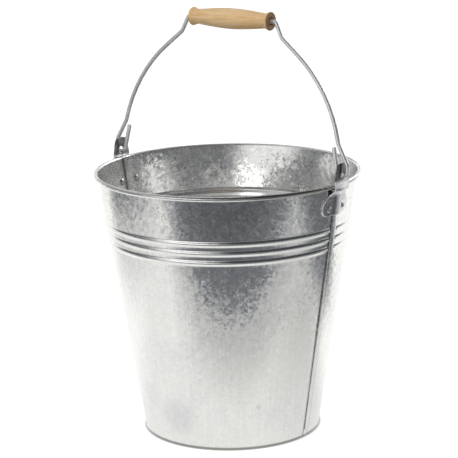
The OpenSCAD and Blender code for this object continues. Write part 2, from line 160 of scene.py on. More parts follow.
def makePiece(name, grid, body, node, material, sharp=35):
    # a welded mesh in metres that stands for a CAD node and rides on its body
    points, faces, uv = welded(*grid)
    mesh = bpy.data.meshes.new(name)
    mesh.from_pydata(points.tolist(), [], faces)
    layer = mesh.uv_layers.new(name="surface")
    layer.data.foreach_set("uv", uv.astype(np.float32).reshape(-1))
    mesh.polygons.foreach_set("use_smooth", np.ones(len(mesh.polygons), dtype=bool))
    mesh.validate()
    turnOutwards(mesh)
    mesh.set_sharp_from_angle(angle=np.radians(sharp))
    mesh.materials.append(material)
    piece = inScene(name, mesh)
    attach(piece, body)
    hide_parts(node)
    print("made", name, len(mesh.polygons), "faces")


def ease(t):
    # 0 to 1 with level ends
    t = np.clip(t, 0, 1)
    return t * t * (3 - 2 * t)


def ovalArc(centre, across, along, a0, a1, steps):
    # points along an arc of an oval, between angles in degrees
    a = np.radians(np.linspace(a0, a1, steps + 1))
    return np.asarray(centre) + np.stack([across * np.cos(a), along * np.sin(a)], axis=1)


def arcLine(centre, radius, a0, a1, steps):
    # points along an arc in degrees, each with the normal on the right of the way
    normals = ovalArc((0, 0), 1, 1, a0, a1, steps) * np.sign(a1 - a0)
    return ovalArc(centre, radius, radius, a0, a1, steps), normals


def cubicLine(p, u, q, v, steps):
    # points along a cubic from p along u to q along v, each with the normal on the right
    t = np.linspace(0, 1, steps + 1)[:, None]
    p, u, q, v = (np.asarray(x, float) for x in (p, u, q, v))
    k = np.linalg.norm(q - p) / 2
    b, c = p + u * k, q - v * k
    at = p * (1 - t) ** 3 + b * 3 * (1 - t) ** 2 * t + c * 3 * (1 - t) * t * t + q * t ** 3
    along = unit((b - p) * (1 - t) ** 2 + (c - b) * 2 * (1 - t) * t + (q - c) * t * t)
    return at, np.stack([along[:, 1], -along[:, 0]], axis=1)


def joinLines(*lines):
    return tuple(np.concatenate(parts) for parts in zip(*lines))


def thickLoop(line, thick):
    # a sheet in section: the middle line offset to its right, and back along its left
    points, normals = line
    return np.concatenate([points + normals * thick / 2, (points - normals * thick / 2)[::-1]])


def roundedPath(corners, stepDeg=5.0):
    # straight runs between corners, each corner an arc of its own radius that touches both runs
    at = np.array([c[0] for c in corners], float)
    out = [at[:1]]
    for k in range(1, len(corners) - 1):
        a, b = unit(at[k - 1] - at[k]), unit(at[k + 1] - at[k])
        half = np.arccos(np.clip(a @ b, -1, 1)) / 2
        radius = corners[k][1]
        centre = at[k] + unit(a + b) * radius / np.sin(half)
        p, q = at[k] + a * radius / np.tan(half) - centre, at[k] + b * radius / np.tan(half) - centre
        start = np.arctan2(p[1], p[0])
        turn = (np.arctan2(q[1], q[0]) - start + np.pi) % (2 * np.pi) - np.pi
        steps = max(3, int(np.ceil(np.degrees(abs(turn)) / stepDeg)))
        out.append(ovalArc(centre, radius, radius, np.degrees(start), np.degrees(start + turn), steps))
    return np.concatenate(out + [at[-1:]])


def fullTurn(steps):
    return np.linspace(0, 2 * np.pi, steps, endpoint=False)[None, :]


def spun(loop, turns, middle, axis, across, upright):
    # a profile of radius and distance along an axis, carried round it
    turn = fullTurn(turns)[..., None]
    ring = np.cos(turn) * across + np.sin(turn) * upright
    return middle + loop[:, None, 1:2] * axis + loop[:, None, 0:1] * ring


# Shader helpers, which work in the node tree that their sockets belong to
def feed(node, inputs):
    # sets inputs that are values, and links those that are sockets
    for key, value in inputs.items():
        if isinstance(value, bpy.types.NodeSocket):
            node.id_data.links.new(value, node.inputs[key])
        else:
            node.inputs[key].default_value = value


def addNode(kind, inputs, **settings):
    linked = next(value for value in inputs.values() if isinstance(value, bpy.types.NodeSocket))
    made = linked.id_data.nodes.new(kind)
    for key, value in settings.items():
        setattr(made, key, value)
    feed(made, inputs)
    return made


def calc(operation, a, b=0.0, c=0.0):
    return addNode("ShaderNodeMath", {0: a, 1: b, 2: c}, operation=operation).outputs[0]


def times(a, b):
    return calc("MULTIPLY", a, b)


def timesPlus(a, b, c):
    return calc("MULTIPLY_ADD", a, b, c)


def opposite(mask):
    return calc("SUBTRACT", 1.0, mask)


def ruffled(mask, by, share):
    # a mask moved up and down by a share of another one
    return timesPlus(calc("SUBTRACT", by, 0.5), share, mask)


def vecCalc(operation, a, b=(0, 0, 0), out=0):
    return addNode("ShaderNodeVectorMath", {0: a, 1: b}, operation=operation).outputs[out]


def scaled(vector, factor):
    return addNode("ShaderNodeVectorMath", {0: vector, "Scale": factor}, operation="SCALE").outputs[0]


def dotWith(vector, v):
    # v is a link or a plain direction
    v = v if isinstance(v, bpy.types.NodeSocket) else tuple(float(x) for x in v)
    return vecCalc("DOT_PRODUCT", vector, v, "Value")


def towards(vector, degrees):
    # how far a vector goes in the level direction that lies so many degrees round from x
    a = np.radians(degrees)
    return dotWith(vector, (np.cos(a), np.sin(a), 0.0))


def xyz(vector):
    return addNode("ShaderNodeSeparateXYZ", {"Vector": vector}).outputs


def distance(u, v):
    return calc("SQRT", timesPlus(u, u, times(v, v)))


def spread(value, low, high, toLow=0.0, toHigh=1.0):
    # value from low to high becomes toLow to toHigh, with level ends
    inputs = {"Value": value, "From Min": low, "From Max": high, "To Min": toLow, "To Max": toHigh}
    return addNode("ShaderNodeMapRange", inputs, interpolation_type="SMOOTHSTEP").outputs["Result"]


def between(value, a, b, c, d):
    # rises to 1 from a to b, and falls again from d to c
    return times(spread(value, a, b), spread(value, c, d))


def mixColour(factor, a, b, blend="MIX"):
    inputs = {0: factor, 6: a, 7: b}
    return addNode("ShaderNodeMix", inputs, data_type="RGBA", blend_type=blend).outputs[2]


def mixValue(factor, a, b):
    return addNode("ShaderNodeMix", {0: factor, 2: a, 3: b}).outputs[0]


def fade(value, start, end, a, b):
    # a where the value is at its start, b where it is at its end
    return mixValue(spread(value, start, end), a, b)


def greyOf(tone):
    return addNode("ShaderNodeCombineColor", {0: tone, 1: tone, 2: tone}).outputs[0]


def noise(vector, scale, detail=2.0, rough=0.5, distortion=0.0, out=0):
    inputs = {"Vector": vector, "Scale": scale, "Detail": detail, "Roughness": rough,
              "Distortion": distortion}
    return addNode("ShaderNodeTexNoise", inputs).outputs[out]


def stretched(vector, scale):
    return addNode("ShaderNodeMapping", {"Vector": vector, "Scale": scale}).outputs[0]


def bump(height, strength, depth, **face):
    inputs = {"Height": height, "Strength": strength, "Distance": depth, **face}
    return addNode("ShaderNodeBump", inputs).outputs[0]


def newGroup(name, ins, outs):
    # an empty group with those sockets, its inputs to read and its output node
    group = bpy.data.node_groups.new(name, "ShaderNodeTree")
    for way, labels in (("INPUT", ins), ("OUTPUT", outs)):
        for label in labels:
            kind = "NodeSocketVector" if label in ("Vector", "Normal") else "NodeSocketFloat"
            group.interface.new_socket(name=label, in_out=way, socket_type=kind)
    return group, group.nodes.new("NodeGroupInput").outputs, group.nodes.new("NodeGroupOutput")


def useGroup(group, inputs):
    return addNode("ShaderNodeGroup", inputs, node_tree=group).outputs


def newMaterial(name):
    material = bpy.data.materials.new(name)
    material.use_nodes = True
    nodes = material.node_tree.nodes
    return material, nodes["Principled BSDF"], nodes.new("ShaderNodeTexCoord").outputs


# Effects that several metals share
crystalLook = {"waves": 1.7, "wave": (3.0, 0.6), "finer": 2.6, "bigShare": 0.55, "smallShare": 0.45}
wearLook = {"broad": (4.0, 0.55, 0.6), "smear": (0.42, 0.66), "along": (1.0, 1.0, 0.12), "finer": 34.0,
            "lines": (2.0, 0.7, 0.3), "scratch": (0.64, 0.72)}


def makeCrystals(c):
    # zinc crystals: cells of two sizes on feathered coordinates, each with its own tone and tilt
    group, given, out = newGroup("zincCrystals", ["Vector", "Cells", "Feather", "Tilt"],
                                 ["Tone", "Fine", "Normal"])
    half = (0.5, 0.5, 0.5)
    wave = noise(given["Vector"], times(given["Cells"], c["waves"]), *c["wave"], out="Color")
    shift = scaled(vecCalc("SUBTRACT", wave, half), given["Feather"])
    bent = vecCalc("ADD", given["Vector"], shift)
    big, small = (addNode("ShaderNodeTexVoronoi", {"Vector": bent, "Scale": scale}).outputs["Color"]
                  for scale in (given["Cells"], times(given["Cells"], c["finer"])))
    both = vecCalc("ADD", scaled(big, c["bigShare"]), scaled(small, c["smallShare"]))
    lean = scaled(vecCalc("SUBTRACT", both, half), given["Tilt"])
    face = group.nodes.new("ShaderNodeNewGeometry").outputs["Normal"]
    split = xyz(both)
    feed(out, {"Tone": split[0], "Fine": split[1],
               "Normal": vecCalc("NORMALIZE", vecCalc("ADD", face, lean))})
    return group


def makeWear(c):
    # handling: broad dull smears and fine scratches, each a mask
    group, given, out = newGroup("handlingWear", ["Vector", "Size"], ["Smear", "Scratch"])
    broad = noise(given["Vector"], given["Size"], *c["broad"])
    along = stretched(given["Vector"], c["along"])
    lines = noise(along, times(given["Size"], c["finer"]), *c["lines"])
    feed(out, {"Smear": spread(broad, *c["smear"]), "Scratch": spread(lines, *c["scratch"])})
    return group


crystals = makeCrystals(crystalLook)
wear = makeWear(wearLook)


def crystalCells(place, f, tilt):
    inputs = {"Vector": place, "Cells": f["cells"], "Feather": f["feather"], "Tilt": tilt}
    return useGroup(crystals, inputs)


def acrossSeam(at):
    # distance from the middle of the nearer seam, towards the sheet that lies under
    return times(at["Y"], calc("SIGN", at["X"]))


# Galvanised sheet: bright zinc with fine crystals, faint blooms and smudges, painted shade in its creases,
# along the foot and on the rim roll, a painted highlight down the seams and a band inside that the lamp
# lights to a painted highlight;
# heights, places and sizes in metres, turns in degrees round the axis. In all the finishes a range of two
# numbers becomes 0 to 1, or the two numbers that follow it
sheetFinish = {"cells": 260.0, "feather": 0.0035, "tilt": 0.10, "wearSize": 9.0, "facing": (0.1, -0.1),
               "pale": (0.93, 0.932, 0.918, 1), "warm": (0.915, 0.91, 0.885, 1),
               "bloom": (0.79, 0.815, 0.85, 1), "shadeTint": (0.16, 0.155, 0.135, 1),
               "stain": (0.45, 0.45, 0.38, 1), "seamHighlight": (0.93, 0.93, 0.93, 1),
               "smudge": (0.46, 0.48, 0.55, 1), "patches": (7.0, 2.0), "patchAt": (0.45, 0.62),
               "cloud": (14.0, 5.0, 0.6, 0.4), "feathered": 0.3, "bloomAt": (0.54, 0.66, 0.0, 0.35),
               "streaks": (420.0, 9.0, 1.0), "streak": (1.0, 4.0, 0.65),
               "streakTone": (0.3, 0.7, 0.95, 1.01), "cellTone": (0.2, 0.8, 0.96, 1.02),
               "stainShare": 0.5, "creaseShare": 0.8, "rough": 0.09, "smearRough": 0.04,
               "matte": (0.42, 0.78, 0.0, 0.18), "seamHighlightMetal": 0.45, "insideMetal": (0.85, 0.62),
               "highlightBandTurn": 104.4, "highlightBandWide": (0.955, 0.995), "calm": (0.09, 0.155, 0.35, 1.0),
               "ridgeZ": (0.2155, 0.2180, 0.2480, 0.2455), "ridgeCalm": 0.4, "rubbed": (0.02, 0.07),
               "rubbedTurn": 215.4, "rubbedCalm": 0.45, "rimZ": (0.2900, 0.2912), "rimTurn": -14.6,
               "rimWide": (0.80, 0.91), "rimShade": 0.6, "smudgeCore": 0.3, "broken": (0.35, 0.6, 0.4, 1.3),
               "smudges": [((0.0, -0.105, 0.036), 0.030, 0.24), ((0.0834, -0.0671, 0.0507), 0.0045, 0.32),
                           ((-0.040, -0.098, 0.052), 0.020, 0.12)],
               "streakH": 0.3, "scratchH": -0.5, "bump": (0.10, 0.0004)}

# Painted shade lines along the foot and the seams, and a painted highlight band down the seams: heights, and
# distances across a seam towards the sheet that lies under
creases = {"foot": (0.0039, 0.0018), "climb": (0.0038, 0.0046, 0.0062, 0.0054), "climbShare": 0.1,
           "lipFoot": (0.0100, 0.0085, 0.0, -0.0014), "lipIn": (-0.0046, -0.0043),
           "lipOut": (-0.0038, -0.0041), "seamHighlight": (0.0006, 0.0012, 0.0028, 0.0022),
           "wallR": (0.0965, 0.0975), "grooveY": 0.005, "groove": (0.0030, 0.0016), "stain": (0.011, 0.003)}


def creaseMasks(at, inside, c):
    # painted shade: dark lines along the foot, down both sides of the seams outside and in their groove
    # inside; a stain round that groove; and a painted highlight band down the seams outside
    across = acrossSeam(at)
    isWall = spread(distance(at["X"], at["Y"]), *c["wallR"])
    climb = times(between(across, *c["climb"]), c["climbShare"])
    fromLip = calc("SUBTRACT", across, spread(at["Z"], *c["lipFoot"]))
    lip = times(spread(fromLip, *c["lipIn"]), spread(across, *c["lipOut"]))
    off = calc("ABSOLUTE", calc("SUBTRACT", across, c["grooveY"]))
    line = mixValue(inside, calc("MAXIMUM", climb, lip), spread(off, *c["groove"]))
    # painted shade in the creases of the wall, and along the foot
    dull = calc("MAXIMUM", times(line, isWall), spread(at["Z"], *c["foot"]))
    stain = times(spread(off, *c["stain"]), times(inside, isWall))
    outside = times(opposite(inside), isWall)
    # last, the painted highlight band down the seams outside
    return dull, stain, times(between(across, *c["seamHighlight"]), outside)


def smudgeMask(place, streak, f):
    # soft round marks, broken up by the streaks
    mask = 0.0
    for centre, size, share in f["smudges"]:
        off = vecCalc("DISTANCE", place, centre, "Value")
        mask = calc("MAXIMUM", mask, spread(off, size, size * f["smudgeCore"], 0.0, share))
    return times(mask, spread(streak, *f["broken"]))


def makeSheetFinish(f):
    material, shader, coords = newMaterial("galvanisedSheet")
    place = coords["Object"]
    at = xyz(place)
    low, high = f["ridgeZ"][:2]
    rubbedSide = spread(towards(place, f["rubbedTurn"]), *f["rubbed"])
    rubbed = times(rubbedSide, spread(at["Z"], high, low))
    onRidges = between(at["Z"], *f["ridgeZ"])
    calmer = calc("MINIMUM", mixValue(onRidges, 1.0, f["ridgeCalm"]), mixValue(rubbed, 1.0, f["rubbedCalm"]))
    lively = times(spread(at["Z"], *f["calm"]), calmer)
    outwards = vecCalc("NORMALIZE", vecCalc("MULTIPLY", place, (1.0, 1.0, 0.0)))
    inside = spread(dotWith(coords["Normal"], outwards), *f["facing"])
    cells = crystalCells(place, f, times(lively, f["tilt"]))
    marks = useGroup(wear, {"Vector": place, "Size": f["wearSize"]})
    streak = noise(stretched(coords["UV"], f["streaks"]), *f["streak"])
    feathered = ruffled(noise(place, *f["cloud"]), cells["Tone"], f["feathered"])
    patch = spread(noise(place, *f["patches"]), *f["patchAt"])
    colour = mixColour(patch, f["pale"], f["warm"])
    colour = mixColour(spread(feathered, *f["bloomAt"]), colour, f["bloom"])
    tone = times(spread(streak, *f["streakTone"]), spread(cells["Fine"], *f["cellTone"]))
    colour = mixColour(1.0, colour, greyOf(tone), "MULTIPLY")
    creaseShade, stain, seamHighlight = creaseMasks(at, inside, creases)
    # painted shade on the lower side of the rim roll at the front right
    rimNear = spread(towards(outwards, f["rimTurn"]), *f["rimWide"])
    rimShade = times(rimNear, spread(at["Z"], *f["rimZ"], 0.0, f["rimShade"]))
    smudges = smudgeMask(place, streak, f)
    # laid over the colour: the stain, the smudges, painted shade in the creases and on the rim roll, and a
    # painted highlight on the seams
    stain, creaseShade = times(stain, f["stainShare"]), times(creaseShade, f["creaseShare"])
    for mask, tint in ((stain, "stain"), (smudges, "smudge"), (creaseShade, "shadeTint"), (rimShade, "shadeTint"),
                       (seamHighlight, "seamHighlight")):
        colour = mixColour(mask, colour, f[tint])
    matte = times(spread(cells["Tone"], *f["matte"]), lively)
    rough = calc("ADD", timesPlus(marks["Smear"], f["smearRough"], f["rough"]), matte)
    # inside, the sheet is less metallic, and still less in an upright band at the back right that the lamp
    # lights to a painted highlight
    insideMetalAndHighlight = spread(towards(outwards, f["highlightBandTurn"]), *f["highlightBandWide"], *f["insideMetal"])
    # the painted highlight on the seams is less metallic, so that the lamp lights it bright
    metal = mixValue(seamHighlight, mixValue(inside, 1.0, insideMetalAndHighlight), f["seamHighlightMetal"])
    height = timesPlus(streak, f["streakH"], times(marks["Scratch"], f["scratchH"]))
    feed(shader, {"Base Color": colour, "Roughness": rough, "Metallic": metal,
                  "Normal": bump(height, *f["bump"], Normal=cells["Normal"])})
    return material


galvanisedSheet = makeSheetFinish(sheetFinish)
print("sheet finish made")

# Wall and bottom: sizes in millimetres, as in the part; waves are turns round, turns up, phase and share
wall = {"rimD": 300.0, "footD": 198.0, "height": 296.5, "sheet": 0.6, "gap": 0.1, "rimWireD": 4.0,
        "curlWrap": 300.0, "hemH": 7.0, "hemRows": 4, "footBendR": 0.4, "ridgeCount": 3, "ridgeDrop": 54.1,
        "ridgePitch": 10.6, "ridgeW": 7.5, "ridgeH": 1.4, "ridgeGap": 1.0, "ridgeFade": 1.2, "lockW": 6.0,
        "stepW": 2.4, "foldGap": 0.3, "foldLap": 1.0, "seamDrop": 11.0, "seamFootH": 9.0, "clear": 0.5,
        "firstRow": 2.0, "step": 4.0, "ridgeSteps": 24, "bendSteps": 8, "curlSteps": 54, "foldSteps": 14,
        "climbSteps": 16, "seamSteps": 60, "turns": 150, "nearSeam": 0.036, "nearSteps": 18, "uvR": 0.125,
        "ripple": 0.045, "innerRipple": 0.3,
        "waves": [(5, 7, 0.4, 0.5), (9, -11, 2.1, 0.3), (16, 5, 1.0, 0.2), (3, 17, 0.0, 0.35)],
        "footFade": (0.05, 0.12), "rimFade": (0.90, 0.08), "seamFade": (0.2, 0.25)}
disc = {"thick": 0.6, "height": 12.0, "bendR": 2.0, "panelD": 140.0, "panelRise": 1.5, "slopeW": 5.0,
        "turns": 160, "flatSteps": 13, "slopeSteps": 16, "bendSteps": 12}

# Lines of the wall
curlR = wall["rimWireD"] / 2 + wall["gap"] + wall["sheet"] / 2
curlOut = curlR + wall["sheet"] / 2
curlAt = np.array([wall["rimD"] / 2 - curlOut, wall["height"] - curlOut])
footAt = np.array([wall["footD"] / 2 - wall["sheet"] / 2, 0.0])
toCurl = curlAt - footAt
lean = np.arctan2(toCurl[0], toCurl[1]) - np.arcsin(curlR / np.linalg.norm(toCurl))
leanDeg = np.degrees(lean)
upWall = np.array([np.sin(lean), np.cos(lean)])
outWall = np.array([np.cos(lean), -np.sin(lean)])
layer = wall["sheet"] + wall["gap"]
seamLeftY = wall["lockW"] / 2 + layer + wall["sheet"] / 2
seamRightY = wall["lockW"] / 2 + wall["sheet"] + wall["stepW"] - wall["sheet"] / 2


def onWall(s, off):
    # radius and height at a slant distance from the foot, and an offset outwards
    s, off = np.asarray(s, float)[..., None], np.asarray(off, float)[..., None]
    return footAt + s * upWall + off * outWall


def slant(z, off=0.0):
    return (z + off * np.sin(lean)) / np.cos(lean)


def wallLine(w, ridgeH):
    # hem, fold at the ground, wall with its ridges as raised cosines, and the roll round the rim wire
    bend, hemOff = w["footBendR"], w["sheet"] + disc["thick"] + 2 * w["gap"]
    bendZ = w["sheet"] / 2 + bend
    inner = onWall(slant(bendZ, bend - hemOff), bend - hemOff)
    outer = onWall(slant(bendZ, -bend), -bend)
    hemS = np.linspace(w["hemH"], slant(bendZ) + w["clear"], w["hemRows"])
    hem = onWall(hemS, 0 * hemS - hemOff), np.tile(-outWall, (len(hemS), 1))
    top = np.dot(toCurl, upWall)
    middles = slant(w["height"] - w["ridgeDrop"] - w["ridgePitch"] * np.arange(w["ridgeCount"]))
    acrossRidge = np.linspace(-0.5, 0.5, w["ridgeSteps"] + 1) * w["ridgeW"]
    plain = np.arange(w["firstRow"], top - w["clear"], w["step"])
    s = np.unique(np.round(np.concatenate([plain, (middles[:, None] + acrossRidge).reshape(-1)]), 3))
    t = (s[:, None] - middles) / w["ridgeW"]
    inside = np.abs(t) <= 0.5
    off = ridgeH * np.sum(inside * (1 + np.cos(2 * np.pi * t)) / 2, axis=1)
    slope = -ridgeH * np.pi / w["ridgeW"] * np.sum(inside * np.sin(2 * np.pi * t), axis=1)
    side = onWall(s, off), unit(outWall - slope[:, None] * upWall)
    return joinLines(hem, arcLine(inner, bend, 180 - leanDeg, 270, w["bendSteps"]),
                     arcLine(outer, bend, 270, 360 - leanDeg, w["bendSteps"]), side,
                     arcLine(curlAt, curlR, 180 - leanDeg, 180 - leanDeg - w["curlWrap"], w["curlSteps"]))


def ripples(angle, height, w):
    # a few long low waves over the wall, in millimetres, which fade out at the foot, the rim and the seams
    h = height / w["height"]
    (foot, footW), (rim, rimW), (seam, seamW) = w["footFade"], w["rimFade"], w["seamFade"]
    level = ease((h - foot) / footW) * ease((rim - h) / rimW) * ease((np.abs(np.sin(angle)) - seam) / seamW)
    waves = sum(np.sin(n * angle + up * h + phase) * share for n, up, phase, share in w["waves"])
    return w["ripple"] * level * waves


def wallSweep(w):
    # the wall's closed section carried round half a circle, between flat cuts beside the seams; its ridges
    # fade out just before them
    plain = thickLoop(wallLine(w, 0.0), w["sheet"])
    ridged = thickLoop(wallLine(w, w["ridgeH"]), w["sheet"]) - plain
    r, z = plain[:, 0:1], plain[:, 1:2]
    lockY = w["lockW"] / 2
    inSeam = (z > w["seamFootH"] - w["clear"]) & (z < w["height"] - w["seamDrop"] + w["clear"])
    start = -np.pi + np.arcsin(np.where(inSeam, lockY + w["sheet"] + w["stepW"], lockY) / r)
    end = np.arcsin((lockY - w["gap"]) / r)
    near = np.linspace(0, w["nearSeam"], w["nearSteps"] + 1)
    t = np.unique(np.round(np.concatenate([np.linspace(0, 1, w["turns"] + 1), near, 1 - near]), 6))[None, :]
    angle = start + (end - start) * t
    room = -r * np.sin(angle) - np.where(np.cos(angle) > 0, seamLeftY, seamRightY) - w["ridgeGap"]
    raised = ease(room / w["ridgeFade"] + 0.5)
    innerRow = np.arange(len(plain))[:, None] >= len(plain) // 2
    push = ripples(angle, z, w) * np.where(innerRow, w["innerRipple"], 1.0)
    radius = r + raised * ridged[:, 0:1] + push * np.cos(lean)
    height = z + raised * ridged[:, 1:2] - push * np.sin(lean)
    points = np.stack([radius * np.cos(angle), radius * np.sin(angle), height], axis=-1)
    return cappedMesh(points, np.stack([angle * w["uvR"] + 0 * z, z * mm + 0 * angle], axis=-1))


def seamSweep(line, w, turn):
    # a seam's section in y and outwards, bowed to the wall, carried up the slope from foot to rim
    points, normals = line
    seamR = (w["rimD"] + w["footD"]) / 4
    bow = np.stack([0 * points[:, 0], points[:, 0] ** 2 / (2 * seamR)], axis=1)
    loop = thickLoop((points - bow, normals), w["sheet"])
    s = np.linspace(slant(w["seamFootH"]), slant(w["height"] - w["seamDrop"]), w["seamSteps"])[None, :]
    place = onWall(s + 0 * loop[:, 1:2], loop[:, 1:2] + 0 * s)
    y = loop[:, 0:1] + 0 * s
    grid = np.stack([place[..., 0] * turn, y * turn, place[..., 1]], axis=-1)
    return cappedMesh(grid, np.stack([y * mm, place[..., 1] * mm], axis=-1), flip=True)


def endPoint(y, off, way):
    # one point of a line, with its normal in or out
    return np.array([[y, off]]), np.array([[0.0, way]])


def seamLines(w):
    # the sheet that lies under folds back once; the one that laps over climbs, then folds in under it
    foldY = w["lockW"] / 2
    inY = foldY + w["sheet"]
    outY = inY + w["stepW"]
    gap, lap, steps = w["foldGap"], w["foldLap"], w["foldSteps"]
    under = joinLines(endPoint(foldY - lap, 0, -1), arcLine((foldY, layer), layer, -90, 90, steps),
                      endPoint(gap - foldY, 2 * layer, 1))
    climb = cubicLine((outY, 0), (-1, 0), (inY, 3 * layer), (-1, 0), w["climbSteps"])
    over = joinLines(endPoint(outY + lap, 0, 1), climb, arcLine((-foldY, 2 * layer), layer, 90, 270, steps),
                     endPoint(foldY - gap, layer, -1))
    return under, over


def discSweep(w, d):
    # the bottom's section, a pressed panel, a bend and a flange down the wall, spun round the middle
    flangeOff = w["sheet"] / 2 + w["gap"] + d["thick"] / 2
    off, z = -flangeOff - d["bendR"], d["height"] - d["thick"] / 2
    slopeX, panelZ = d["panelD"] / 2 - d["slopeW"], z + d["panelRise"]
    r = np.linspace(0, slopeX, d["flatSteps"] + 1)[:-1]
    flat = np.stack([r, 0 * r + panelZ], axis=1), np.tile([0.0, -1.0], (len(r), 1))
    slope = cubicLine((slopeX, panelZ), (1, 0), (d["panelD"] / 2, z), (1, 0), d["slopeSteps"])
    bend = arcLine(onWall(slant(z - d["bendR"], off), off), d["bendR"], 90, -leanDeg, d["bendSteps"])
    foot = onWall(slant(w["sheet"] + 2 * w["gap"], -flangeOff), -flangeOff)
    loop = thickLoop(joinLines(flat, slope, bend, (foot[None, :], -outWall[None, :])), d["thick"])
    loop[:, 0] = np.maximum(loop[:, 0], 0)
    points = spun(loop, d["turns"], 0.0, zAxis, xAxis, yAxis)
    return gridMesh(points, points[..., :2] * mm, True, True)


under, over = seamLines(wall)
halfWall = joinGrids(wallSweep(wall), seamSweep(under, wall, 1), seamSweep(over, wall, -1))
for name, node, grid in (("frontSheet", "front_wall", halfWall),
                         ("backSheet", "back_wall", turnedHalf(halfWall)),
                         ("bottomDisc", "bottom_disc", discSweep(wall, disc))):
    makePiece(name, grid, "bucket", node, galvanisedSheet)
print("wall and bottom done")

# Ears: stamped plate, grey where it was rolled, with painted shade at the eye and a painted highlight along
# its edge and rib
plateFinish = {"cells": 420.0, "feather": 0.002, "tilt": 0.02, "wearSize": 40.0, "cloud": (60.0, 3.0, 0.6),
               "feathered": 0.4, "pale": (0.76, 0.75, 0.765, 1), "dull": (0.60, 0.585, 0.615, 1),
               "dullAt": (0.4, 0.62), "eye": (0.24, 0.24, 0.235, 1), "eyeRightShade": (0.12, 0.12, 0.118, 1),
               "eyeSide": (-0.01, 0.01), "eyeAt": (0.296, 0.301), "eyeCloud": (0.2, 0.5, 0.75, 1.0),
               "scratch": (0.8, 0.8, 0.81, 1), "scratchShare": 0.35, "edge": (0.93, 0.93, 0.93, 1),
               "edgeHighlightW": (0.0010, 0.0004), "rib": (0.0006, 0.0016, 0.0066, 0.0056), "ribTop": (0.2925, 0.2900),
               "rough": (0.2, 0.8, 0.12, 0.24), "smearRough": 0.08, "edgeHighlightMetal": -0.6, "scratchH": -0.6,
               "bump": (0.15, 0.0004)}


def makePlateFinish(f):
    material, shader, coords = newMaterial("galvanisedPlate")
    place = coords["Object"]
    at = xyz(place)
    cells = crystalCells(place, f, f["tilt"])
    marks = useGroup(wear, {"Vector": place, "Size": f["wearSize"]})
    cloud = noise(place, *f["cloud"])
    mask = ruffled(cloud, cells["Tone"], f["feathered"])
    # painted shade on the eye above the rim, darker on the right ear
    eyeShade = times(spread(at["Z"], *f["eyeAt"]), spread(mask, *f["eyeCloud"]))
    eye = mixColour(spread(at["X"], *f["eyeSide"]), f["eye"], f["eyeRightShade"])
    # painted highlight along the plate's rounded edge and on the rib's top, less metallic so that it stays
    # bright
    edge = times(spread(xyz(coords["UV"])[0], *f["edgeHighlightW"]), opposite(eyeShade))
    rib = times(between(acrossSeam(at), *f["rib"]), spread(at["Z"], *f["ribTop"]))
    edge = calc("MAXIMUM", edge, rib)
    colour = mixColour(spread(mask, *f["dullAt"]), f["pale"], f["dull"])
    colour = mixColour(eyeShade, colour, eye)
    colour = mixColour(times(marks["Scratch"], f["scratchShare"]), colour, f["scratch"])
    rough = timesPlus(marks["Smear"], f["smearRough"], spread(cells["Fine"], *f["rough"]))
    height = timesPlus(marks["Scratch"], f["scratchH"], cloud)
    feed(shader, {"Base Color": mixColour(edge, colour, f["edge"]), "Roughness": rough,
                  "Metallic": timesPlus(edge, f["edgeHighlightMetal"], 1.0),
                  "Normal": bump(height, *f["bump"], Normal=cells["Normal"])})
    return material


galvanisedPlate = makePlateFinish(plateFinish)

# Ears and rivets in millimetres; the plate is sunk where a rivet's collar sits
ear = {"thick": 1.5, "lobeW": 48.0, "drop": 36.0, "shoulderDrop": 22.0, "neckDrop": 8.5, "neckW": 25.0,
       "eyeW": 29.0, "topW": 20.0, "rise": 21.5, "topR": 8.5, "lobeR": 9.0, "neckR": 6.0, "cornerR": 4.0,
       "holeD": 8.0, "holeRise": 6.9, "stepH": 11.0, "stepDrop": 4.5, "gap": 0.15, "edgeR": 0.55,
       "ribSlope": 1.7, "cols": 52, "rowStep": 0.7, "holeSteps": 24, "stepSteps": 40, "spanZ": (200.0, 400.0),
       "edgeShares": (0, 0.08, 0.3, 0.62, 1.0), "slopeStep": 0.02, "sinkR": 3.3, "sinkW": 0.4, "sinkH": 1.3}
rivet = {"pitch": 26.0, "drop": 28.0, "shankD": 5.0, "headD": 8.0, "headH": 1.8, "collarD": 7.0,
         "collarH": 0.8, "hollowD": 4.0, "hollowH": 2.0, "turns": 48, "headSteps": 12, "collarSteps": 18,
         "hollowSteps": 8}

earX = wall["rimD"] / 2 + ear["gap"] + ear["thick"] / 2
flankOff = wall["sheet"] / 2 + wall["gap"] + ear["thick"] / 2
ribOff = 3 * layer + wall["sheet"] / 2 + ear["gap"] + ear["thick"] / 2
holeZ = wall["height"] + ear["holeRise"]


def earOutline(e, w):
    # half of the ear's outline in y and z, from the middle of its lower edge to the middle of its top
    low, top = w["height"] - e["drop"], w["height"] + e["rise"]
    return roundedPath([((0, low), 0), ((e["lobeW"] / 2, low), e["lobeR"]),
                        ((e["lobeW"] / 2, w["height"] - e["shoulderDrop"]), e["neckR"]),
                        ((e["neckW"] / 2, w["height"] - e["neckDrop"]), e["neckR"]),
                        ((e["eyeW"] / 2, w["height"]), e["cornerR"]),
                        ((e["topW"] / 2, top), e["topR"]), ((0, top), 0)])


def earRadius(off, z):
    # the plate's middle line as a radius: up the wall at an offset, a cubic step out, then straight up
    stepZ = wall["height"] - ear["stepDrop"]
    lowZ, highZ = ear["spanZ"]
    start = onWall(slant(stepZ - ear["stepH"], off), off)
    curve = cubicLine(start, upWall, (earX, stepZ), (0, 1), ear["stepSteps"])[0]
    line = np.concatenate([onWall(slant(lowZ, off), off)[None, :], curve, [[earX, highZ]]])
    return np.interp(z, line[:, 1], line[:, 0])


